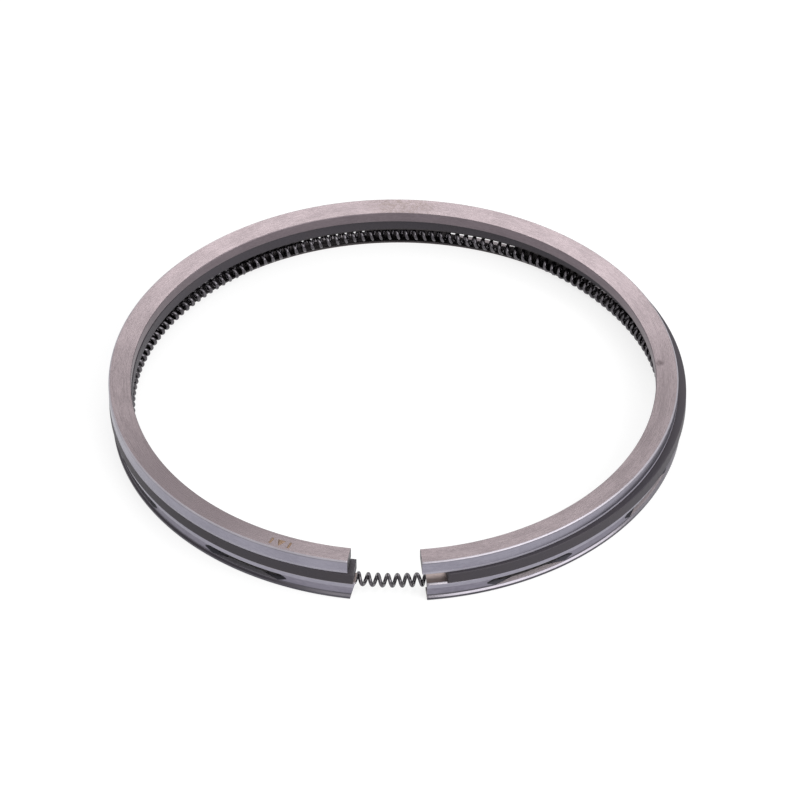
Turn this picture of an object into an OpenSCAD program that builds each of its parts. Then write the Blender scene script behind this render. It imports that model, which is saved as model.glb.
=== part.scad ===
/* [Bore] */
// Diameter of the cylinder bore that the rings are made for
bore = 102; // [90:0.5:120]

/* [Top ring] */
// How far the free top ring springs out past the bore, on the radius
top_open = 2; // [0.5:0.05:4]
// Radial width of the top ring
top_w = 4.15; // [3:0.05:4.6]
// Height of the top ring at its running face
top_h = 2.9; // [2.2:0.05:4]
// Slope of each side face of the keystone section, in degrees
top_slope = 5.5; // [0:0.5:8]
// Chamfer between the upper side face and the running face
top_chamfer = 0.25; // [0.1:0.05:0.5]
// Broken edge on the other three corners of the section
top_break = 0.1; // [0.05:0.01:0.2]
// Free gap of the top ring, in degrees
top_gap = 14.4; // [4:0.1:30]
// Turn of the top ring's gap from the front, in degrees
top_turn = -0.5; // [-20:0.1:20]
// How far the top ring lies to the side of the oil ring
top_shift = -0.65; // [-1:0.05:1]
// How far the top ring lies behind the oil ring's axis
top_back = -0.25; // [-1:0.05:1]

/* [Second ring] */
// How far the free second ring springs out past the bore, on the radius
second_open = 2.85; // [0.5:0.05:4]
// Radial width of the second ring
second_w = 4.4; // [3:0.05:4.8]
// Height of the second ring
second_h = 2.25; // [1.5:0.05:4]
// Taper of the running face, in degrees
second_taper = 1; // [0:0.1:2]
// Broken edge on the corners of the section
second_break = 0.12; // [0.05:0.01:0.25]
// Free gap of the second ring, in degrees
second_gap = 18.1; // [4:0.1:30]
// Turn of the second ring's gap from the front, in degrees
second_turn = 1.7; // [-20:0.1:20]
// How far the second ring lies to the side of the oil ring
second_shift = 0.1; // [-1:0.05:1]
// How far the second ring lies behind the oil ring's axis
second_back = 0.25; // [-1:0.05:1]

/* [Oil ring] */
// How far the free oil ring springs out past the bore, on the radius
oil_open = 2.25; // [0.5:0.05:4]
// Radial width of the oil ring, without its spring
oil_w = 3; // [2.7:0.05:3.4]
// Height of the oil ring
oil_h = 4; // [3.6:0.1:6]
// Free gap of the oil ring at its upper side, in degrees
oil_gap = 13.8; // [4:0.1:30]
// Lean of the left end, which sets its lower corner back, in degrees
oil_lean = 14; // [0:1:20]
// Height of the upper land, with its bevel
upper_land = 1.15; // [0.8:0.05:1.3]
// Height of the lower land, with its bevel
lower_land = 0.95; // [0.8:0.05:1.3]
// Bevel on the upper corner of each land
land_bevel = 0.3; // [0.15:0.05:0.4]
// Broken edge on the other corners of the section
oil_break = 0.2; // [0.05:0.01:0.25]

/* [Drain slots] */
// Number of drain slots round the oil ring
slot_count = 10; // [6:1:12]
// Angle from the gap's middle to the near end of the first slot, in degrees
slot_start = 19.9; // [17:0.1:24]
// Length of a slot at the bottom of the recess, in degrees
slot_span = 18.5; // [10:0.1:22]
// Turn of the slot pattern from the middle of the gap, in degrees
slot_turn = -1; // [-2:0.1:2]
// Space between a slot and each land
slot_margin = 0.1; // [0.05:0.01:0.3]
// Radius of the disc cutter that mills the slots
cutter_r = 30; // [11:0.5:40]
// Bevel on the rim of the cutter, which tapers the ends of the slots
cutter_bevel = 0.65; // [0.1:0.05:0.7]

/* [Expander spring] */
// Outer diameter of the coil
coil_d = 2.7; // [1.8:0.1:2.9]
// Diameter of the spring wire
wire_d = 0.7; // [0.4:0.02:0.8]
// Number of turns round the ring
coil_turns = 180; // [150:1:190]
// Turn of the first coil from the front, in coil turns
coil_phase = 0.96; // [0:0.01:1]
// How far the axis of the coil's groove lies inside the wall of the oil ring
coil_sink = 0.7; // [0.2:0.05:0.9]
// How much smaller the loop of the coil is than its groove, on the radius
coil_slack = 0.6; // [0:0.05:0.8]
// How far the slack coil bows inwards, midway between the back and each side
coil_sag = 0.8; // [0:0.05:1]
// Clearance between the coil and its groove
seat_clearance = 0.05; // [0.02:0.01:0.1]

/* [Hidden] */
$fn = 256;
turn_steps = 8;
wire_sides = 4;
cut_over = 1;

top_r = bore / 2 + top_open;
second_r = bore / 2 + second_open;
oil_r = bore / 2 + oil_open;

oil_inner_r = oil_r - oil_w;
recess_r = oil_r - land_bevel;
recess_bottom = lower_land;
recess_top = oil_h - upper_land;
slot_h = recess_top - recess_bottom - 2 * slot_margin;
slot_z = (recess_bottom + recess_top) / 2;
slot_pitch = (360 - 2 * slot_start - slot_span) / (slot_count - 1);
slot_half_chord = recess_r * sin(slot_span / 2);
cutter_centre = recess_r * cos(slot_span / 2) + sqrt(cutter_r ^ 2 - slot_half_chord ^ 2);

groove_axis_r = oil_inner_r + coil_sink;
coil_axis_r = groove_axis_r - coil_slack;
coil_axis_z = oil_h / 2;
coil_r = (coil_d - wire_d) / 2;
groove_r = coil_d / 2 + seat_clearance;

second_z = oil_h;
top_foot = top_break * tan(top_slope);
top_z = oil_h + second_h - top_foot;

// A closed outline is turned round Z and left open over the gap, whose middle is at the front, at -Y
module split_ring(outline, gap)
    rotate([0, 0, gap / 2 - 90])
        rotate_extrude(angle = 360 - gap)
            polygon(outline);

// Keystone section: both side faces slope towards the inside, and the corners are broken
function top_outline() =
    let (
        inner_r = top_r - top_w,
        rise = tan(top_slope),
        lower_in = (top_w - top_break) * rise,
        upper_in = top_h - lower_in,
        inner_low = top_w * rise + top_break,
        inner_high = top_h - inner_low
    )
    [
        [top_r, top_break],
        [top_r, top_h - top_chamfer],
        [top_r - top_chamfer, top_h - top_chamfer * rise],
        [inner_r + top_break, upper_in],
        [inner_r, inner_high],
        [inner_r, inner_low],
        [inner_r + top_break, lower_in],
        [top_r - top_break, top_foot]
    ];

// Plain section with a tapered running face, widest at its lower edge
function second_outline() =
    let (
        inner_r = second_r - second_w,
        edge = second_break,
        upper_r = second_r - (second_h - edge) * tan(second_taper)
    )
    [
        [second_r - edge, 0],
        [second_r, edge],
        [upper_r, second_h - edge],
        [upper_r - edge, second_h],
        [inner_r + edge, second_h],
        [inner_r, second_h - edge],
        [inner_r, edge],
        [inner_r + edge, 0]
    ];

// Two lands bevelled on their upper corners, with a recess between them
function oil_outline() =
    [
        [oil_r - oil_break, 0],
        [oil_r, oil_break],
        [oil_r, recess_bottom - land_bevel],
        [recess_r, recess_bottom],
        [recess_r, recess_top],
        [oil_r, recess_top],
        [oil_r, oil_h - land_bevel],
        [oil_r - land_bevel, oil_h],
        [oil_inner_r + oil_break, oil_h],
        [oil_inner_r, oil_h - oil_break],
        [oil_inner_r, oil_break],
        [oil_inner_r + oil_break, 0]
    ];

// U-shaped groove inside the oil ring, where the spring sits
module spring_groove()
    rotate_extrude() {
        translate([groove_axis_r, coil_axis_z])
            circle(r = groove_r);
        translate([oil_inner_r - cut_over, coil_axis_z - groove_r])
            square([coil_sink + cut_over, 2 * groove_r]);
    }

// Half the section of the disc cutter, with its rim bevelled on both sides
function cutter_outline() =
    let (half = slot_h / 2)
    [
        [0, -half],
        [cutter_r - cutter_bevel, -half],
        [cutter_r, cutter_bevel - half],
        [cutter_r, half - cutter_bevel],
        [cutter_r - cutter_bevel, half],
        [0, half]
    ];

// The cutter is fed in from outside, so each slot tapers and runs out at its two ends
module drain_slots()
    for (i = [0 : slot_count - 1])
        rotate([0, 0, slot_turn + slot_start + slot_span / 2 + i * slot_pitch])
            translate([0, -cutter_centre, slot_z])
                rotate_extrude()
                    polygon(cutter_outline());

// Block that trims the left end along a plane through its upper corner
module end_trim()
    rotate([0, 0, -oil_gap / 2])
        translate([0, 0, oil_h])
            rotate([0, oil_lean, 0])
                translate([0, -oil_r - cut_over, -2 * oil_h])
                    cube([oil_h, oil_w + 2 * cut_over, 2 * oil_h + cut_over]);

// Right-handed helix on the coil's loop, with angles measured from the front
function coil_point(a, reach) =
    let (
        turn = coil_turns * a - 360 * coil_phase,
        r = coil_axis_r - coil_sag * sin(2 * a) ^ 2 + reach * cos(turn)
    )
    [r * sin(a), -r * cos(a), coil_axis_z - reach * sin(turn)];

// One corner of the wire's section: v is across the coil, w runs along its axis
function wire_point(a, side) =
    let (
        corner = 360 * side / wire_sides,
        v = wire_d / 2 * cos(corner),
        w = wire_d / 2 * sin(corner),
        p = coil_point(a, coil_r + v)
    )
    p + w * [cos(a), sin(a), 0];

module top_ring()
    color([0.66, 0.62, 0.62])
        translate([top_shift, top_back, top_z])
            rotate([0, 0, top_turn])
                split_ring(top_outline(), top_gap);

module second_ring()
    color([0.26, 0.25, 0.26])
        translate([second_shift, second_back, second_z])
            rotate([0, 0, second_turn])
                split_ring(second_outline(), second_gap);

module oil_ring()
    color([0.56, 0.55, 0.6])
        difference() {
            split_ring(oil_outline(), oil_gap);
            spring_groove();
            drain_slots();
            end_trim();
        }

// The loop lies against the back of its groove and stands clear of it at the gap
module expander_spring()
    color([0.16, 0.16, 0.17])
        let (
            rings = coil_turns * turn_steps,
            points = [
                for (i = [0 : rings - 1])
                    for (side = [0 : wire_sides - 1])
                        wire_point(-180 + 360 * i / rings, side)
            ],
            faces = [
                for (i = [0 : rings - 1])
                    for (side = [0 : wire_sides - 1])
                        let (
                            here = i * wire_sides,
                            next = (i + 1) % rings * wire_sides,
                            after = (side + 1) % wire_sides
                        )
                        each [
                            [here + side, here + after, next + after],
                            [here + side, next + after, next + side]
                        ]
            ]
        )
        translate([0, coil_slack, 0])
            polyhedron(points, faces);

top_ring();
second_ring();
oil_ring();
expander_spring();
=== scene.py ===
import math
from typing import NamedTuple

import bmesh
import bpy
from mathutils import Matrix, Vector


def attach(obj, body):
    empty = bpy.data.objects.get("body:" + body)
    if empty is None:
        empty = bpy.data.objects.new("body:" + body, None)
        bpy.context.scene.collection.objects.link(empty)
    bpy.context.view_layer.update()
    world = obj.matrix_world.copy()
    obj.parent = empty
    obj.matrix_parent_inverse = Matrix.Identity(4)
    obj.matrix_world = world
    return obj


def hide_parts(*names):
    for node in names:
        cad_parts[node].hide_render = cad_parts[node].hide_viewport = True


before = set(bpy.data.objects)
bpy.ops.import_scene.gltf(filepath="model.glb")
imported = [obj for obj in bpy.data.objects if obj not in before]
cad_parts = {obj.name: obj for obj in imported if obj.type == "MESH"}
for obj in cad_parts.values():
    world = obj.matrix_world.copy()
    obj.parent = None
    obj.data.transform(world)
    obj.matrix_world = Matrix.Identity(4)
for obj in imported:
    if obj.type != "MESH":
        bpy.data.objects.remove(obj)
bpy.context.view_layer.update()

# Sizes in millimetres and degrees, as in the part; angles start at the front, at -Y, and grow towards +X
MM = 0.001

BORE_R = 51.0

TOP_OPEN = 2.0
TOP_R = BORE_R + TOP_OPEN
TOP_W = 4.15
TOP_H = 2.9
TOP_SLOPE = 5.5
TOP_CHAMFER = 0.25
TOP_BREAK = 0.1
TOP_GAP = 14.4
TOP_TURN = -0.5
TOP_SHIFT = -0.65
TOP_BACK = -0.25

SECOND_OPEN = 2.85
SECOND_R = BORE_R + SECOND_OPEN
SECOND_W = 4.4
SECOND_H = 2.25
SECOND_TAPER = 1.0
SECOND_BREAK = 0.12
SECOND_GAP = 18.1
SECOND_TURN = 1.7
SECOND_SHIFT = 0.1
SECOND_BACK = 0.25

OIL_OPEN = 2.25
OIL_W = 3.0
OIL_R = BORE_R + OIL_OPEN
OIL_INNER_R = OIL_R - OIL_W
OIL_H = 4.0
OIL_GAP = 13.8
OIL_LEAN = 14.0
OIL_BREAK = 0.2
UPPER_LAND = 1.15
LOWER_LAND = 0.95
LAND_BEVEL = 0.3
RECESS_R = OIL_R - LAND_BEVEL
RECESS_BOTTOM = LOWER_LAND
RECESS_TOP = OIL_H - UPPER_LAND

SLOT_COUNT = 10
SLOT_START = 19.9
SLOT_SPAN = 18.5
SLOT_TURN = -1.0
SLOT_MARGIN = 0.1
SLOT_PITCH = (360 - 2 * SLOT_START - SLOT_SPAN) / (SLOT_COUNT - 1)
SLOT_BOTTOM = RECESS_BOTTOM + SLOT_MARGIN
SLOT_TOP = RECESS_TOP - SLOT_MARGIN
CUTTER_R = 30.0
CUTTER_BEVEL = 0.65

COIL_D = 2.7
WIRE_D = 0.7
COIL_TURNS = 180
COIL_PHASE = 0.96
COIL_SINK = 0.7
COIL_SLACK = 0.6
COIL_SAG = 0.8
SEAT_CLEARANCE = 0.05
COIL_R = (COIL_D - WIRE_D) / 2
GROOVE_AXIS_R = OIL_INNER_R + COIL_SINK
COIL_AXIS_R = GROOVE_AXIS_R - COIL_SLACK
COIL_AXIS_Z = OIL_H / 2
GROOVE_R = COIL_D / 2 + SEAT_CLEARANCE

SECOND_Z = OIL_H
TOP_Z = OIL_H + SECOND_H - TOP_BREAK * math.tan(math.radians(TOP_SLOPE))

# Bands on the running face of the top ring: a lighter worn band at its lower edge, and a darker band just
# under the chamfer
WORN_BAND = 0.45
SHADE_BAND = 0.18

# The orientation mark: a plain triangle between two bars, on the upper side face of the top ring
MARK_ANGLE = -21.9
MARK_RADIUS = 51.3
MARK_HEIGHT = 1.7
MARK_BAR_W = 0.45
MARK_TRIANGLE_W = 1.5
MARK_TIP_W = 0.15
MARK_SPACING = 1.75
MARK_RAISE = 0.006
MARK_SINK = 0.02
MARK_COLUMNS = 6

# Fineness of the meshes
COLUMN_STEP = 0.5
GROOVE_STEPS = 5
BEVEL_STEPS = 3
WIRE_STEPS = 24
WIRE_SIDES = 10
EDGE_ROUND = 0.04
EDGE_SEGMENTS = 2
EDGE_ANGLE = 30.0


class Finish(NamedTuple):
    """Metal that varies between two colours; lines is how many lie in a millimetre across the ring."""

    name: str
    colour: tuple
    variant: tuple
    roughness: float
    lines: float
    metallic: float = 1.0


GROUND_FACE = Finish("ground_steel_face", (0.2, 0.167, 0.176), (0.265, 0.221, 0.232), 0.28, 14.0)
TOP_FINISHES = {
    "plated": Finish("plated_running_face", (0.25, 0.238, 0.288), (0.3, 0.287, 0.342), 0.3, 10.0),
    "worn": Finish("worn_band", (0.4, 0.382, 0.447), (0.45, 0.43, 0.5), 0.5, 10.0, 0.25),
    "shade": Finish("upper_band", (0.18, 0.17, 0.2), (0.23, 0.22, 0.255), 0.34, 10.0),
    "edge": Finish("lapped_edge", (0.36, 0.338, 0.375), (0.41, 0.385, 0.425), 0.45, 20.0),
    "bore": Finish("turned_bore", (0.152, 0.125, 0.139), (0.186, 0.154, 0.17), 0.42, 16.0),
    # Painted shade: the end faces at the gap are painted dark
    "end": Finish("cut_end_painted_shade", (0.09, 0.085, 0.095), (0.13, 0.12, 0.13), 0.5, 20.0),
}
OIL_FINISHES = {
    "land": Finish("chrome_land", (0.28, 0.268, 0.32), (0.335, 0.322, 0.38), 0.32, 12.0),
    # Painted shade: the lower land is the upper land's chrome painted dark, for its dark reflection and shade
    # near the floor
    "lower_land": Finish("lower_land_painted_shade", (0.075, 0.07, 0.084), (0.105, 0.1, 0.117), 0.32, 12.0),
    "bevel": Finish("lapped_bevel", (0.27, 0.25, 0.275), (0.32, 0.298, 0.326), 0.24, 20.0),
    "lower_bevel": Finish("lower_bevel", (0.2, 0.187, 0.21), (0.243, 0.226, 0.253), 0.2, 20.0),
    # Painted shade: a dark strip at the foot of the recess, above the lower bevel
    "recess_foot_painted_shade": Finish("recess_foot_painted_shade", (0.11, 0.104, 0.122), (0.14, 0.133, 0.153), 0.42, 12.0),
    # Partly painted light: the milled slot floor is lighter than the other steel, so that it looks lit inside
    # the slot
    "slot_floor": Finish("milled_floor_and_painted_light", (0.38, 0.332, 0.348), (0.46, 0.4, 0.42), 0.5, 12.0, 0.2),
    "recess": Finish("turned_recess", (0.2, 0.187, 0.232), (0.25, 0.235, 0.285), 0.42, 12.0),
    # Painted shade: the walls and roof of each slot are painted nearly black
    "slot": Finish("slot_walls_painted_shade", (0.03, 0.03, 0.036), (0.045, 0.043, 0.05), 0.5, 12.0),
    "side": Finish("ground_side", (0.22, 0.18, 0.174), (0.28, 0.23, 0.222), 0.42, 14.0),
    # Painted shade: the inner face and the spring's groove are painted nearly black
    "groove": Finish("groove_painted_shade", (0.05, 0.045, 0.048), (0.075, 0.067, 0.07), 0.5, 12.0),
    # Painted shade: the downward-facing lower break is painted dark
    "lower_edge_painted_shade": Finish("lower_edge_painted_shade", (0.1, 0.095, 0.105), (0.14, 0.13, 0.14), 0.4, 14.0),
    # Painted shade: the end faces at the gap are painted dark
    "end": Finish("oil_ring_end_painted_shade", (0.14, 0.125, 0.13), (0.2, 0.18, 0.185), 0.48, 20.0),
}

# Painted shade on finishes of the oil ring: they darken towards the left, full at the first place, none from
# the second
LEFT_PAINTED_SHADE = {"lower_bevel": (0.045, 0.04, 0.048), "slot_floor": (0.15, 0.14, 0.16)}
LEFT_FULL_X = -25.0
LEFT_END_X = -4.0

# Pattern of a metal finish: cells to the millimetre, round the ring and across it
LINE_ALONG = 0.12
LINE_DETAIL = 5.0
MOTTLE_CELLS = (0.1536, 0.48)
GRAIN_CELLS = (1.1, 2.6)
GRAIN_DETAIL = 3.0
PATTERN_STRETCH = (1.2, 1.8)
ROUGHNESS_BELOW = 0.05
ROUGHNESS_ABOVE = 0.07
LINE_DEPTH = 0.0012
HARD_NOISE = 0.7
FIRM_NOISE = 0.6
SOFT_NOISE = 0.55

# Lay of the grinding lines on the upper side face of the top ring
LAY_STRENGTH = 0.75
QUARTER_TURN = 0.25

# Stretches of a noise's values that are spread out to full contrast
WIDE_STRETCH = (0.3, 0.7)
MIDDLE_STRETCH = (0.35, 0.65)

# From here on, cells are to the metre

# Painted shade at the front left, stains and smudge on the upper side face; a reach says how far each is full
# and where it ends
FACE_MIDDLE_R = 51.2
PAINTED_SHADE_ANGLE = -46.0
PAINTED_SHADE_COLOUR = (0.15, 0.124, 0.132)
PAINTED_SHADE_REACH = (6.0, 32.0)
STAIN_ANGLE = 180.0
STAIN_COLOUR = (0.15, 0.12, 0.11)
STAIN_REACH = (3.0, 9.0)
STAIN_STRETCH = (0.4, 0.66)
STAIN_SHARE = (0.0, 0.7)
SMUDGE_R = 49.1
SMUDGE_ANGLE = 94.0
SMUDGE_DROP = 0.45
SMUDGE_COLOUR = (0.11, 0.088, 0.093)
SMUDGE_REACH = (0.2, 1.3)
SMUDGE_STRETCH = (0.35, 0.6)
SMUDGE_SHARE = (0.3, 1.0)
SPOT_CELLS = 1500.0
SPOT_DETAIL = 5.0

# Phosphate of the second ring
PHOSPHATE_COLOUR = (0.036, 0.0325, 0.039)
PHOSPHATE_ROUGHNESS = 0.55
PHOSPHATE_ROUGHNESS_RANGE = (0.48, 0.64)
PHOSPHATE_SPECULAR = 0.4
PHOSPHATE_TINT = (0.97, 0.88, 0.97)
CRYSTAL_COLOUR = (0.058, 0.053, 0.061)
CRYSTAL_CELLS = 7000.0
CRYSTAL_STRETCH = (0.4, 0.7)
CRYSTAL_SHARE = (0.0, 0.8)
CRYSTAL_DEPTH = 0.004
CRYSTAL_STRENGTH = 0.6
PATCH_COLOUR = (0.045, 0.039, 0.044)
PATCH_CELLS = 160.0
PATCH_STRETCH = (0.45, 0.65)
PATCH_SHARE = (0.0, 0.6)

# Wire of the spring
WIRE_COLOUR = (0.07, 0.065, 0.072)
WIRE_VARIANT = (0.14, 0.131, 0.143)
WIRE_ROUGHNESS = 0.2
WIRE_ROUGHNESS_RANGE = (0.16, 0.26)
SCALE_CELLS = 1800.0
SCALE_DETAIL = 4.0
SCALE_DEPTH = 0.003
SCALE_STRENGTH = 0.5

# Finish of the orientation mark
MARK_COLOUR = (0.2, 0.125, 0.08)
MARK_VARIANT = (0.3, 0.2, 0.14)
MARK_ROUGHNESS = 0.55
MARK_METALLIC = 0.4
BURN_CELLS = 3000.0

# Sockets of the mix node when it mixes colours
MIX_SHARE = 0
MIX_FIRST = 6
MIX_SECOND = 7
MIX_RESULT = 2

# Stage, in metres and watts
FLOOR_HALF = 4.0
FLOOR_ALBEDO = 0.35
FLOOR_GLOW = 0.75
WORLD_FILL = 0.7
KEY_PLACE = (-0.073, 0.52, 0.643)
KEY_SIZE = (0.45, 0.2)
KEY_POWER = 1.15
SIDE_PLACE = (0.5097, -0.3703, 0.425)
SIDE_SIZE = (0.9, 0.5)
SIDE_POWER = 3.8

# Camera: the axis of the lens meets the middle of the top ring's upper edge
CAMERA_AZIMUTH = 1.4
CAMERA_ELEVATION = 39.8
CAMERA_DISTANCE = 795.0
CAMERA_ROLL = -0.36
CAMERA_LENS = 192.17
CAMERA_NEAR = 10.0
IMAGE_SIDE = 800
AXIS_PIXEL = (393.4, 372.9)


def polar(radius, angle, height):
    """Point at that radius, angle and height, in metres."""
    turn = math.radians(angle)
    return Vector((radius * math.sin(turn), -radius * math.cos(turn), height)) * MM


def lerp(a, b, share):
    return a + (b - a) * share


# Centre of the painted shade at the front left, and of the stains and the smudge
PAINTED_SHADE_AT = polar(FACE_MIDDLE_R, PAINTED_SHADE_ANGLE, TOP_Z + TOP_H)
STAIN_AT = polar(FACE_MIDDLE_R, STAIN_ANGLE, TOP_Z + TOP_H)
SMUDGE_AT = polar(SMUDGE_R, SMUDGE_ANGLE, TOP_Z + TOP_H - SMUDGE_DROP)


# Materials


def new_material(name, colour, roughness, metallic=1.0):
    """A node material with plain values on its shader; the detail is linked in afterwards."""
    made = bpy.data.materials.new(name)
    made.use_nodes = True
    shader = shader_of(made)
    shader.inputs["Base Color"].default_value = (*colour, 1)
    shader.inputs["Roughness"].default_value = roughness
    shader.inputs["Metallic"].default_value = metallic
    made.diffuse_color = (*colour, 1)
    return made


def shader_of(made):
    return made.node_tree.nodes["Principled BSDF"]


def add_node(tree, kind, **settings):
    made = tree.nodes.new(kind)
    for name, value in settings.items():
        setattr(made, name, value)
    return made


def unrolled(tree, along, across):
    """Coordinates round and across a ring, in millimetres, scaled each way."""
    source = add_node(tree, "ShaderNodeUVMap", uv_map="unrolled")
    mapping = add_node(tree, "ShaderNodeMapping")
    mapping.inputs["Scale"].default_value = (along, across, 1)
    tree.links.new(source.outputs["UV"], mapping.inputs["Vector"])
    return mapping.outputs["Vector"]


def in_place(tree):
    """Coordinates of the part's own frame, in metres."""
    return add_node(tree, "ShaderNodeTexCoord").outputs["Object"]


def noise(tree, place, scale, detail, roughness):
    made = add_node(tree, "ShaderNodeTexNoise")
    made.inputs["Scale"].default_value = scale
    made.inputs["Detail"].default_value = detail
    made.inputs["Roughness"].default_value = roughness
    tree.links.new(place, made.inputs["Vector"])
    return made.outputs["Fac"]


def spread(tree, value, stretch, target=(0.0, 1.0)):
    """A value in the stretch becomes one in the target range, and stays at its ends outside."""
    made = add_node(tree, "ShaderNodeMapRange", interpolation_type="SMOOTHSTEP")
    made.inputs["From Min"].default_value, made.inputs["From Max"].default_value = stretch
    made.inputs["To Min"].default_value, made.inputs["To Max"].default_value = target
    tree.links.new(value, made.inputs["Value"])
    return made.outputs["Result"]


def math_node(tree, operation, first, second):
    made = add_node(tree, "ShaderNodeMath", operation=operation)
    for socket, value in zip(made.inputs, (first, second)):
        if isinstance(value, float):
            socket.default_value = value
        else:
            tree.links.new(value, socket)
    return made.outputs["Value"]


def tint(tree, base, share, colour):
    """base, mixed towards colour by share."""
    made = add_node(tree, "ShaderNodeMix", data_type="RGBA")
    if isinstance(base, tuple):
        made.inputs[MIX_FIRST].default_value = (*base, 1)
    else:
        tree.links.new(base, made.inputs[MIX_FIRST])
    made.inputs[MIX_SECOND].default_value = (*colour, 1)
    tree.links.new(share, made.inputs[MIX_SHARE])
    return made.outputs[MIX_RESULT]


def near(tree, centre, reach):
    """1 within the first distance of a point, falling to 0 at the second."""
    distance = add_node(tree, "ShaderNodeVectorMath", operation="DISTANCE")
    tree.links.new(in_place(tree), distance.inputs[0])
    distance.inputs[1].default_value = centre
    inner, outer = reach
    return spread(tree, distance.outputs["Value"], (inner * MM, outer * MM), (1.0, 0.0))


def colour_of(made):
    """Socket that the shader's colour comes from so far."""
    return shader_of(made).inputs["Base Color"].links[0].from_socket


def set_colour(made, value):
    made.node_tree.links.new(value, shader_of(made).inputs["Base Color"])


def set_roughness(made, value):
    made.node_tree.links.new(value, shader_of(made).inputs["Roughness"])


def set_bump(made, height, depth, strength=1.0):
    tree = made.node_tree
    bump = add_node(tree, "ShaderNodeBump")
    bump.inputs["Strength"].default_value = strength
    bump.inputs["Distance"].default_value = depth * MM
    tree.links.new(height, bump.inputs["Height"])
    tree.links.new(bump.outputs["Normal"], shader_of(made).inputs["Normal"])


def set_lay(made):
    """Lines round the ring, which draw a highlight out across them."""
    around = add_node(made.node_tree, "ShaderNodeTangent", direction_type="RADIAL", axis="Z")
    made.node_tree.links.new(around.outputs["Tangent"], shader_of(made).inputs["Tangent"])
    shader_of(made).inputs["Anisotropic"].default_value = LAY_STRENGTH
    shader_of(made).inputs["Anisotropic Rotation"].default_value = QUARTER_TURN


def paint_shade_left(made, colour):
    """Painted shade: the finish goes over to a darker colour towards the left, the side the lamps leave in
    shade.
    """
    tree = made.node_tree
    parts = add_node(tree, "ShaderNodeSeparateXYZ")
    tree.links.new(in_place(tree), parts.inputs[0])
    share = spread(tree, parts.outputs["X"], (LEFT_FULL_X * MM, LEFT_END_X * MM), (1.0, 0.0))
    set_colour(made, tint(tree, colour_of(made), share, colour))


def metal_material(finish):
    """Metal with fine lines round the ring, a grain and a slow mottle between two colours."""
    made = new_material(finish.name, finish.colour, finish.roughness, finish.metallic)
    tree = made.node_tree
    fine = noise(tree, unrolled(tree, LINE_ALONG, finish.lines), 1.0, LINE_DETAIL, FIRM_NOISE)
    slow = noise(tree, unrolled(tree, *MOTTLE_CELLS), 1.0, GRAIN_DETAIL, SOFT_NOISE)
    coarse = noise(tree, unrolled(tree, *GRAIN_CELLS), 1.0, GRAIN_DETAIL, FIRM_NOISE)
    pattern = math_node(tree, "ADD", math_node(tree, "ADD", fine, slow), coarse)
    set_colour(made, tint(tree, finish.colour, spread(tree, pattern, PATTERN_STRETCH), finish.variant))
    polish = (finish.roughness - ROUGHNESS_BELOW, finish.roughness + ROUGHNESS_ABOVE)
    set_roughness(made, spread(tree, fine, WIDE_STRETCH, polish))
    set_bump(made, fine, LINE_DEPTH)
    return made


def ground_face_material():
    """Warm ground side face of the top ring, with painted shade at the front left, faint brown stains at the
    back and a smudge at one side.
    """
    made = metal_material(GROUND_FACE)
    set_lay(made)
    tree = made.node_tree
    spots = noise(tree, in_place(tree), SPOT_CELLS, SPOT_DETAIL, HARD_NOISE)
    stain_spots = spread(tree, spots, STAIN_STRETCH, STAIN_SHARE)
    stain = math_node(tree, "MULTIPLY", near(tree, STAIN_AT, STAIN_REACH), stain_spots)
    smudge_spots = spread(tree, spots, SMUDGE_STRETCH, SMUDGE_SHARE)
    smudge = math_node(tree, "MULTIPLY", near(tree, SMUDGE_AT, SMUDGE_REACH), smudge_spots)
    # Painted shade: the front left of the face is darkened, where its brushed lines reflect less light
    shaded = tint(tree, colour_of(made), near(tree, PAINTED_SHADE_AT, PAINTED_SHADE_REACH), PAINTED_SHADE_COLOUR)
    stained = tint(tree, shaded, stain, STAIN_COLOUR)
    set_colour(made, tint(tree, stained, smudge, SMUDGE_COLOUR))
    return made


def phosphate_material():
    """Dark matt phosphate with a fine crystalline mottle and slightly browner patches."""
    made = new_material("phosphate", PHOSPHATE_COLOUR, PHOSPHATE_ROUGHNESS, 0.0)
    shader_of(made).inputs["Specular IOR Level"].default_value = PHOSPHATE_SPECULAR
    shader_of(made).inputs["Specular Tint"].default_value = (*PHOSPHATE_TINT, 1)
    tree = made.node_tree
    crystals = noise(tree, in_place(tree), CRYSTAL_CELLS, GRAIN_DETAIL, HARD_NOISE)
    patches = noise(tree, in_place(tree), PATCH_CELLS, GRAIN_DETAIL, SOFT_NOISE)
    crystal_share = spread(tree, crystals, CRYSTAL_STRETCH, CRYSTAL_SHARE)
    speckled = tint(tree, PHOSPHATE_COLOUR, crystal_share, CRYSTAL_COLOUR)
    set_colour(made, tint(tree, speckled, spread(tree, patches, PATCH_STRETCH, PATCH_SHARE), PATCH_COLOUR))
    set_roughness(made, spread(tree, crystals, WIDE_STRETCH, PHOSPHATE_ROUGHNESS_RANGE))
    set_bump(made, crystals, CRYSTAL_DEPTH, CRYSTAL_STRENGTH)
    return made


def wire_material():
    """Dark drawn wire with a soft sheen and slight scale."""
    made = new_material("spring_wire", WIRE_COLOUR, WIRE_ROUGHNESS)
    tree = made.node_tree
    scale = noise(tree, in_place(tree), SCALE_CELLS, SCALE_DETAIL, FIRM_NOISE)
    set_colour(made, tint(tree, WIRE_COLOUR, spread(tree, scale, MIDDLE_STRETCH), WIRE_VARIANT))
    set_roughness(made, spread(tree, scale, WIDE_STRETCH, WIRE_ROUGHNESS_RANGE))
    set_bump(made, scale, SCALE_DEPTH, SCALE_STRENGTH)
    return made


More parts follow.
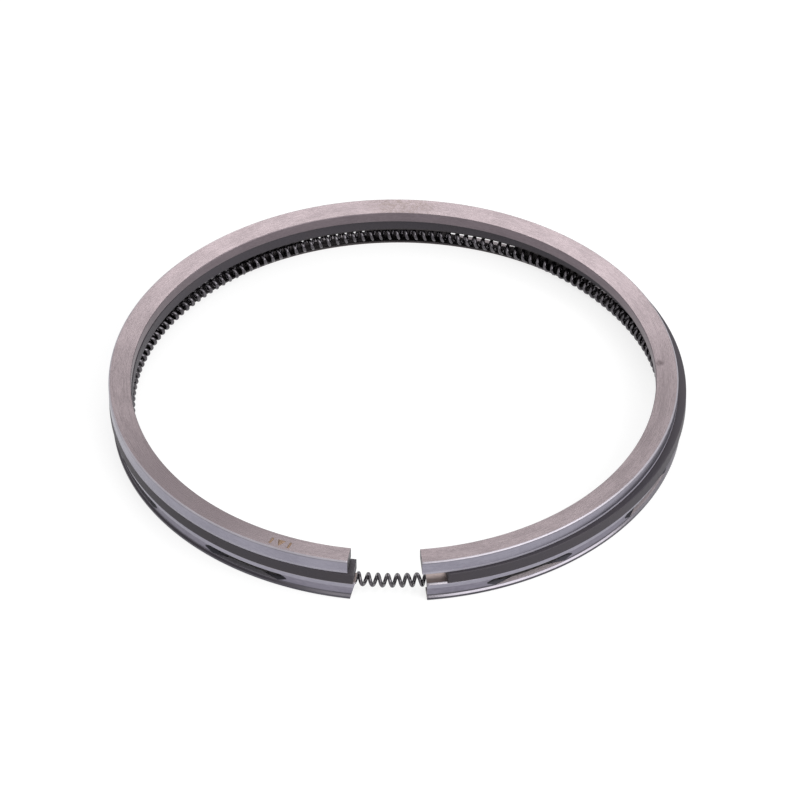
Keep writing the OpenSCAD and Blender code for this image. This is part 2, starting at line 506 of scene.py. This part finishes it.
def mark_material():
    """Brown laser-etched finish."""
    made = new_material("etched_brown", MARK_COLOUR, MARK_ROUGHNESS, MARK_METALLIC)
    tree = made.node_tree
    burn = noise(tree, in_place(tree), BURN_CELLS, GRAIN_DETAIL, FIRM_NOISE)
    set_colour(made, tint(tree, MARK_COLOUR, spread(tree, burn, MIDDLE_STRETCH), MARK_VARIANT))
    return made


# Sections of the rings


class Point(NamedTuple):
    """Corner of a section, the finish of the stretch from there on, and which side of a slot it is on."""

    r: float
    z: float
    finish: str
    window: str = None


def top_profile():
    """Keystone section: both side faces slope towards the inside, and the corners are broken."""
    inner_r = TOP_R - TOP_W
    rise = math.tan(math.radians(TOP_SLOPE))
    lower_in = (TOP_W - TOP_BREAK) * rise
    inner_low = TOP_W * rise + TOP_BREAK
    return [
        Point(TOP_R, TOP_BREAK, "worn"),
        Point(TOP_R, TOP_BREAK + WORN_BAND, "plated"),
        Point(TOP_R, TOP_H - TOP_CHAMFER - SHADE_BAND, "shade"),
        Point(TOP_R, TOP_H - TOP_CHAMFER, "edge"),
        Point(TOP_R - TOP_CHAMFER, TOP_H - TOP_CHAMFER * rise, "face"),
        Point(inner_r + TOP_BREAK, TOP_H - lower_in, "bore"),
        Point(inner_r, TOP_H - inner_low, "bore"),
        Point(inner_r, inner_low, "bore"),
        Point(inner_r + TOP_BREAK, lower_in, "face"),
        Point(TOP_R - TOP_BREAK, TOP_BREAK * rise, "worn"),
    ]


def second_profile():
    """Plain section with a tapered running face, widest at its lower edge."""
    inner_r = SECOND_R - SECOND_W
    edge = SECOND_BREAK
    upper_r = SECOND_R - (SECOND_H - edge) * math.tan(math.radians(SECOND_TAPER))
    corners = [
        (SECOND_R - edge, 0),
        (SECOND_R, edge),
        (upper_r, SECOND_H - edge),
        (upper_r - edge, SECOND_H),
        (inner_r + edge, SECOND_H),
        (inner_r, SECOND_H - edge),
        (inner_r, edge),
        (inner_r + edge, 0),
    ]
    return [Point(r, z, "phosphate") for r, z in corners]


def groove_point(z):
    """Point of the spring's groove at the height of a slot's row."""
    rise = z - COIL_AXIS_Z
    return Point(GROOVE_AXIS_R + math.sqrt(GROOVE_R**2 - rise**2), z, "groove", "inner")


def groove_arc(start, end):
    """Points of the groove between two angles above its axis, both ends left out."""
    turns = [math.radians(lerp(start, end, i / GROOVE_STEPS)) for i in range(1, GROOVE_STEPS)]
    return [
        Point(GROOVE_AXIS_R + GROOVE_R * math.cos(t), COIL_AXIS_Z + GROOVE_R * math.sin(t), "groove")
        for t in turns
    ]


def groove_rise(z):
    """Angle above the groove's axis at which the groove reaches that height."""
    return math.degrees(math.asin((z - COIL_AXIS_Z) / GROOVE_R))


def window_heights():
    """Heights of the rows of a slot's end, which the cutter's bevel tapers below and above."""
    bevel = [CUTTER_BEVEL * i / BEVEL_STEPS for i in range(BEVEL_STEPS + 1)]
    return [SLOT_BOTTOM + b for b in bevel] + [SLOT_TOP - b for b in reversed(bevel)]


def oil_profile():
    """Two lands bevelled on their upper corners, a recess between them and the spring's groove inside."""
    foot, *rows = window_heights()
    return [
        Point(OIL_R - OIL_BREAK, 0, "lower_edge_painted_shade"),
        Point(OIL_R, OIL_BREAK, "lower_land"),
        Point(OIL_R, RECESS_BOTTOM - LAND_BEVEL, "lower_bevel"),
        Point(RECESS_R, RECESS_BOTTOM, "recess_foot_painted_shade"),
        Point(RECESS_R, foot, "recess_foot_painted_shade", "outer"),
        *[Point(RECESS_R, z, "recess", "outer") for z in rows],
        Point(RECESS_R, RECESS_TOP, "recess"),
        Point(OIL_R, RECESS_TOP, "land"),
        Point(OIL_R, OIL_H - LAND_BEVEL, "bevel"),
        Point(OIL_R - LAND_BEVEL, OIL_H, "side"),
        Point(OIL_INNER_R + OIL_BREAK, OIL_H, "side"),
        Point(OIL_INNER_R, OIL_H - OIL_BREAK, "groove"),
        Point(OIL_INNER_R, COIL_AXIS_Z + GROOVE_R, "groove"),
        Point(GROOVE_AXIS_R, COIL_AXIS_Z + GROOVE_R, "groove"),
        *groove_arc(90, groove_rise(SLOT_TOP)),
        *[groove_point(z) for z in reversed(window_heights())],
        *groove_arc(groove_rise(SLOT_BOTTOM), -90),
        Point(GROOVE_AXIS_R, COIL_AXIS_Z - GROOVE_R, "groove"),
        Point(OIL_INNER_R, COIL_AXIS_Z - GROOVE_R, "groove"),
        Point(OIL_INNER_R, OIL_BREAK, "side"),
        Point(OIL_INNER_R + OIL_BREAK, 0, "side"),
    ]


def lengths_across(profile):
    """Distance along the section's outline to each of its points, and all round it."""
    total = [0.0]
    for here, after in zip(profile, profile[1:] + profile[:1]):
        total.append(total[-1] + math.hypot(after.r - here.r, after.z - here.z))
    return total


# Columns of vertices round the rings


def plain_columns(gap):
    count = math.ceil((360 - gap) / COLUMN_STEP)
    return [lerp(gap / 2, 360 - gap / 2, i / count) for i in range(count + 1)]


def cutter_radius(height):
    """Radius of the disc cutter at a height of the slot."""
    return CUTTER_R - max(0.0, CUTTER_BEVEL - min(height - SLOT_BOTTOM, SLOT_TOP - height))


def slot_reach(radius, height):
    """Half the angle that a slot takes; the disc cutter makes it shorter towards the inside."""
    half_span = math.radians(SLOT_SPAN / 2)
    half_chord = RECESS_R * math.sin(half_span)
    centre = RECESS_R * math.cos(half_span) + math.sqrt(CUTTER_R**2 - half_chord**2)
    cosine = (radius**2 + centre**2 - cutter_radius(height) ** 2) / (2 * radius * centre)
    return math.degrees(math.acos(cosine))


def slot_middles():
    first = SLOT_TURN + SLOT_START + SLOT_SPAN / 2
    return [first + i * SLOT_PITCH for i in range(SLOT_COUNT)]


def oil_stops(point):
    """Angles of a line round the ring at its right end, each slot's two ends and the leaning left end."""
    reach = slot_reach(point.r, point.z) if point.window else slot_reach(RECESS_R, SLOT_TOP)
    set_back = (OIL_H - point.z) * math.tan(math.radians(OIL_LEAN))
    stops = [OIL_GAP / 2]
    for middle in slot_middles():
        stops += [middle - reach, middle + reach]
    stops.append(360 - OIL_GAP / 2 - math.degrees(math.asin(set_back / point.r)))
    return stops


def oil_columns():
    """(stretch, share) of each column of vertices; odd stretches are slots."""
    stops = oil_stops(Point(OIL_R, OIL_H, "land"))
    columns = []
    for stretch in range(len(stops) - 1):
        count = max(2, math.ceil((stops[stretch + 1] - stops[stretch]) / COLUMN_STEP))
        columns += [(stretch, i / count) for i in range(count)]
    columns.append((len(stops) - 2, 1.0))
    return columns


# Meshes


class Builder:
    """Collects vertices and faces with a finish for each face, and unrolled coordinates for each corner."""

    def __init__(self, name, finishes):
        self.name = name
        self.finishes = finishes
        self.order = list(finishes)
        self.mesh = bmesh.new()
        self.unrolled = self.mesh.loops.layers.uv.new("unrolled")

    def vertex(self, place):
        return self.mesh.verts.new(place)

    def face(self, corners, finish, places):
        made = self.mesh.faces.new(corners)
        made.material_index = self.order.index(finish)
        made.smooth = True
        for loop, place in zip(made.loops, places):
            loop[self.unrolled].uv = place

    def object(self):
        bmesh.ops.recalc_face_normals(self.mesh, faces=self.mesh.faces)
        data = bpy.data.meshes.new(self.name)
        self.mesh.to_mesh(data)
        self.mesh.free()
        for finish in self.order:
            data.materials.append(self.finishes[finish])
        made = bpy.data.objects.new(self.name, data)
        bpy.context.scene.collection.objects.link(made)
        return made


def round_edges(piece):
    """Every sharp edge is broken a little, as on a lapped ring."""
    bevel = piece.modifiers.new("broken_edges", "BEVEL")
    bevel.width = EDGE_ROUND * MM
    bevel.segments = EDGE_SEGMENTS
    bevel.limit_method = "ANGLE"
    bevel.angle_limit = math.radians(EDGE_ANGLE)
    bevel.use_clamp_overlap = True
    normals = piece.modifiers.new("even_normals", "WEIGHTED_NORMAL")
    normals.keep_sharp = False


def build_split_ring(name, profile, gap, finishes):
    """A section turned round the axis and left open over the gap, with a flat end on each side."""
    builder = Builder(name, finishes)
    columns = plain_columns(gap)
    across = lengths_across(profile)
    grid = [[builder.vertex(polar(p.r, angle, p.z)) for p in profile] for angle in columns]
    for left, right, angle, next_angle in zip(grid, grid[1:], columns, columns[1:]):
        arc = math.radians(angle) * BORE_R
        next_arc = math.radians(next_angle) * BORE_R
        for i, point in enumerate(profile):
            j = (i + 1) % len(profile)
            low, high = across[i], across[i + 1]
            places = [(arc, low), (next_arc, low), (next_arc, high), (arc, high)]
            builder.face([left[i], right[i], right[j], left[j]], point.finish, places)
    for end in (grid[0], grid[-1]):
        builder.face(end, "end", [(p.r, p.z) for p in profile])
    return builder.object()


class OilGrid:
    """Vertices of the oil ring in columns; lines round the ring bend a little to meet each slot's ends."""

    def __init__(self, builder):
        self.builder = builder
        self.profile = oil_profile()
        self.across = lengths_across(self.profile)
        self.columns = oil_columns()
        self.stops = [oil_stops(point) for point in self.profile]
        self.vertices = [self.column_vertices(column) for column in self.columns]
        self.outer = [i for i, point in enumerate(self.profile) if point.window == "outer"]
        self.inner = [i for i, point in enumerate(self.profile) if point.window == "inner"][::-1]

    def angle(self, i, column):
        stretch, share = column
        return lerp(self.stops[i][stretch], self.stops[i][stretch + 1], share)

    def column_vertices(self, column):
        return [
            self.builder.vertex(polar(point.r, self.angle(i, column), point.z))
            for i, point in enumerate(self.profile)
        ]

    def add(self, corners, finish):
        """corners are (column, point) pairs."""
        arcs = [math.radians(self.angle(i, self.columns[c])) * BORE_R for c, i in corners]
        places = [(arc, self.across[i]) for arc, (_, i) in zip(arcs, corners)]
        self.builder.face([self.vertices[c][i] for c, i in corners], finish, places)

    def in_window(self, i, j):
        return any(i in side and j in side for side in (self.outer, self.inner))

    def add_walls(self, c, slotted):
        """The section's outline from one column to the next, left open where a slot is."""
        for i, point in enumerate(self.profile):
            j = (i + 1) % len(self.profile)
            if not (slotted and self.in_window(i, j)):
                self.add([(c, i), (c + 1, i), (c + 1, j), (c, j)], point.finish)

    def add_slot_sides(self, c):
        """Floor and roof of a slot from one column to the next."""
        for row, finish in ((0, "slot_floor"), (-1, "slot")):
            out, into = self.outer[row], self.inner[row]
            self.add([(c, out), (c + 1, out), (c + 1, into), (c, into)], finish)

    def add_slot_end(self, c):
        sides = list(zip(self.outer, self.inner))
        for (out, into), (next_out, next_into) in zip(sides, sides[1:]):
            self.add([(c, out), (c, next_out), (c, next_into), (c, into)], "slot")

    def add_ring_end(self, c):
        self.builder.face(self.vertices[c], "end", [(point.r, point.z) for point in self.profile])


def build_oil_ring(name, finishes):
    """The slotted oil ring, column by column."""
    builder = Builder(name, finishes)
    grid = OilGrid(builder)
    last = len(grid.columns) - 1
    for c, (stretch, share) in enumerate(grid.columns[:last]):
        slotted = stretch % 2 == 1
        grid.add_walls(c, slotted)
        if slotted:
            grid.add_slot_sides(c)
        if share == 0 and c:
            grid.add_slot_end(c)
    for c in (0, last):
        grid.add_ring_end(c)
    return builder.object()


def coil_axis(angle):
    """Radius of the coil's axis, which bows inwards midway between the back and each side."""
    return COIL_AXIS_R - COIL_SAG * math.sin(math.radians(2 * angle)) ** 2


def coil_point(angle):
    turn = math.radians(COIL_TURNS * angle - 360 * COIL_PHASE)
    return polar(coil_axis(angle) + COIL_R * math.cos(turn), angle, COIL_AXIS_Z - COIL_R * math.sin(turn))


def wire_section(builder, centre, along, hub):
    """Vertices round the wire, square to its run; hub is the point of the coil's axis beside it."""
    side = along.cross((centre - hub).normalized()).normalized()
    outward = side.cross(along)
    ring = []
    for k in range(WIRE_SIDES):
        turn = 2 * math.pi * k / WIRE_SIDES
        reach = outward * math.cos(turn) + side * math.sin(turn)
        ring.append(builder.vertex(centre + reach * WIRE_D / 2 * MM))
    return ring


def build_spring(name, finish):
    """Round wire swept along the coil, closed round the ring."""
    builder = Builder(name, {"wire": finish})
    count = COIL_TURNS * WIRE_STEPS
    angles = [lerp(-180, 180, i / count) for i in range(count)]
    centres = [coil_point(angle) for angle in angles]
    rings = []
    for i, angle in enumerate(angles):
        along = (centres[(i + 1) % count] - centres[i - 1]).normalized()
        hub = polar(coil_axis(angle), angle, COIL_AXIS_Z)
        rings.append(wire_section(builder, centres[i], along, hub))
    for i, ring in enumerate(rings):
        after = rings[(i + 1) % count]
        for k in range(WIRE_SIDES):
            n = (k + 1) % WIRE_SIDES
            places = [(i, k), (i + 1, k), (i + 1, k + 1), (i, k + 1)]
            builder.face([ring[k], after[k], after[n], ring[n]], "wire", places)
    return builder.object()


def face_height(radius):
    """Height of the top ring's upper side face at a radius."""
    return TOP_Z + TOP_H - (TOP_R - radius) * math.tan(math.radians(TOP_SLOPE))


def patch_rows(builder, middle, width_at, lift):
    """Pairs of vertices across a plate of the mark, from the inside to the outside of the side face."""
    angle = MARK_ANGLE + math.degrees(middle / MARK_RADIUS)
    rows = []
    for i in range(MARK_COLUMNS + 1):
        share = i / MARK_COLUMNS
        radius = MARK_RADIUS + MARK_HEIGHT * (share - 1 / 2)
        half = math.degrees(width_at(share) / 2 / radius)
        height = face_height(radius) + lift
        rows.append([builder.vertex(polar(radius, angle + s * half, height)) for s in (-1, 1)])
    return rows


def add_patch(builder, middle, width_at):
    """A thin plate on the upper side face, as wide as width_at says."""
    upper = patch_rows(builder, middle, width_at, MARK_RAISE)
    lower = patch_rows(builder, middle, width_at, -MARK_SINK)
    flat = [(0, 0), (1, 0), (1, 1), (0, 1)]
    for i in range(MARK_COLUMNS):
        for rows in (upper, lower):
            builder.face([rows[i][0], rows[i][1], rows[i + 1][1], rows[i + 1][0]], "mark", flat)
        for s in (0, 1):
            builder.face([upper[i][s], upper[i + 1][s], lower[i + 1][s], lower[i][s]], "mark", flat)
    for i in (0, MARK_COLUMNS):
        builder.face([upper[i][0], upper[i][1], lower[i][1], lower[i][0]], "mark", flat)


def build_mark(name, finish):
    builder = Builder(name, {"mark": finish})
    add_patch(builder, -MARK_SPACING, lambda share: MARK_BAR_W)
    add_patch(builder, 0.0, lambda share: lerp(MARK_TRIANGLE_W, MARK_TIP_W, share))
    add_patch(builder, MARK_SPACING, lambda share: MARK_BAR_W)
    return builder.object()


# Pieces


def place(piece, shift, back, lift, turn):
    """The turn and shift go into the mesh, so that the piece sits at the origin."""
    piece.data.transform(
        Matrix.Translation(Vector((shift, back, lift)) * MM) @ Matrix.Rotation(math.radians(turn), 4, "Z")
    )


def dress(piece, node):
    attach(piece, "root")
    if node:
        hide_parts(node)


def make_top_ring():
    finishes = {"face": ground_face_material()}
    for key, finish in TOP_FINISHES.items():
        finishes[key] = metal_material(finish)
    piece = build_split_ring("top_ring_dressed", top_profile(), TOP_GAP, finishes)
    place(piece, TOP_SHIFT, TOP_BACK, TOP_Z, TOP_TURN)
    round_edges(piece)
    dress(piece, "top_ring")
    mark = build_mark("orientation_mark", mark_material())
    place(mark, TOP_SHIFT, TOP_BACK, 0.0, 0.0)
    dress(mark, None)


def make_second_ring():
    finish = phosphate_material()
    finishes = {"phosphate": finish, "end": finish}
    piece = build_split_ring("second_ring_dressed", second_profile(), SECOND_GAP, finishes)
    place(piece, SECOND_SHIFT, SECOND_BACK, SECOND_Z, SECOND_TURN)
    round_edges(piece)
    dress(piece, "second_ring")


def make_oil_ring():
    finishes = {key: metal_material(finish) for key, finish in OIL_FINISHES.items()}
    # Painted shade towards the left on the lower bevel and the slot floor
    for key, colour in LEFT_PAINTED_SHADE.items():
        paint_shade_left(finishes[key], colour)
    piece = build_oil_ring("oil_ring_dressed", finishes)
    round_edges(piece)
    dress(piece, "oil_ring")


def make_spring():
    piece = build_spring("expander_spring_dressed", wire_material())
    place(piece, 0.0, COIL_SLACK, 0.0, 0.0)
    dress(piece, "expander_spring")


# Stage


def seen_rays(tree):
    """1 for the rays that show the background: camera, glossy and transmission."""
    path = add_node(tree, "ShaderNodeLightPath")
    glossy = math_node(tree, "MAXIMUM", path.outputs["Is Glossy Ray"], path.outputs["Is Transmission Ray"])
    return math_node(tree, "MAXIMUM", path.outputs["Is Camera Ray"], glossy)


def make_world():
    world = bpy.data.worlds.new("studio")
    world.use_nodes = True
    tree = world.node_tree
    background = tree.nodes["Background"]
    background.inputs["Color"].default_value = (1, 1, 1, 1)
    strength = spread(tree, seen_rays(tree), (0.0, 1.0), (WORLD_FILL, 1.0))
    tree.links.new(strength, background.inputs["Strength"])
    bpy.context.scene.world = world


def floor_material():
    """Pale floor that keeps the shadow and glows for the rays that show the background."""
    made = bpy.data.materials.new("white_floor")
    made.use_nodes = True
    tree = made.node_tree
    tree.nodes.remove(tree.nodes["Principled BSDF"])
    diffuse = add_node(tree, "ShaderNodeBsdfDiffuse")
    diffuse.inputs["Color"].default_value = (FLOOR_ALBEDO, FLOOR_ALBEDO, FLOOR_ALBEDO, 1)
    glow = add_node(tree, "ShaderNodeEmission")
    tree.links.new(math_node(tree, "MULTIPLY", seen_rays(tree), FLOOR_GLOW), glow.inputs["Strength"])
    both = add_node(tree, "ShaderNodeAddShader")
    tree.links.new(diffuse.outputs["BSDF"], both.inputs[0])
    tree.links.new(glow.outputs["Emission"], both.inputs[1])
    tree.links.new(both.outputs["Shader"], tree.nodes["Material Output"].inputs["Surface"])
    return made


def make_floor():
    corners = [(x * FLOOR_HALF, y * FLOOR_HALF, 0) for x, y in ((-1, -1), (1, -1), (1, 1), (-1, 1))]
    data = bpy.data.meshes.new("floor")
    data.from_pydata(corners, [], [(0, 1, 2, 3)])
    data.materials.append(floor_material())
    floor = bpy.data.objects.new("floor", data)
    bpy.context.scene.collection.objects.link(floor)


def add_softbox(name, place_at, size, power):
    data = bpy.data.lights.new(name, "AREA")
    data.shape = "RECTANGLE"
    data.size, data.size_y = size
    data.energy = power
    lamp = bpy.data.objects.new(name, data)
    lamp.location = place_at
    lamp.rotation_euler = (-Vector(place_at)).to_track_quat("-Z", "Y").to_euler()
    bpy.context.scene.collection.objects.link(lamp)


def make_camera():
    target = Vector((TOP_SHIFT, TOP_BACK, TOP_Z + TOP_H - TOP_CHAMFER)) * MM
    rise = math.radians(CAMERA_ELEVATION)
    away = polar(CAMERA_DISTANCE * math.cos(rise), CAMERA_AZIMUTH, CAMERA_DISTANCE * math.sin(rise))
    data = bpy.data.cameras.new("camera")
    data.lens = CAMERA_LENS
    data.clip_start = CAMERA_NEAR * MM
    data.shift_x = (IMAGE_SIDE / 2 - AXIS_PIXEL[0]) / IMAGE_SIDE
    data.shift_y = (AXIS_PIXEL[1] - IMAGE_SIDE / 2) / IMAGE_SIDE
    camera = bpy.data.objects.new("camera", data)
    turn = (-away).to_track_quat("-Z", "Y").to_matrix().to_4x4()
    roll = Matrix.Rotation(math.radians(CAMERA_ROLL), 4, "Z")
    camera.matrix_world = Matrix.Translation(target + away) @ turn @ roll
    bpy.context.scene.collection.objects.link(camera)
    bpy.context.scene.camera = camera


make_top_ring()
make_second_ring()
make_oil_ring()
make_spring()
make_world()
make_floor()
add_softbox("key", KEY_PLACE, KEY_SIZE, KEY_POWER)
add_softbox("side", SIDE_PLACE, SIDE_SIZE, SIDE_POWER)
make_camera()
bpy.context.scene.view_settings.view_transform = "Standard"
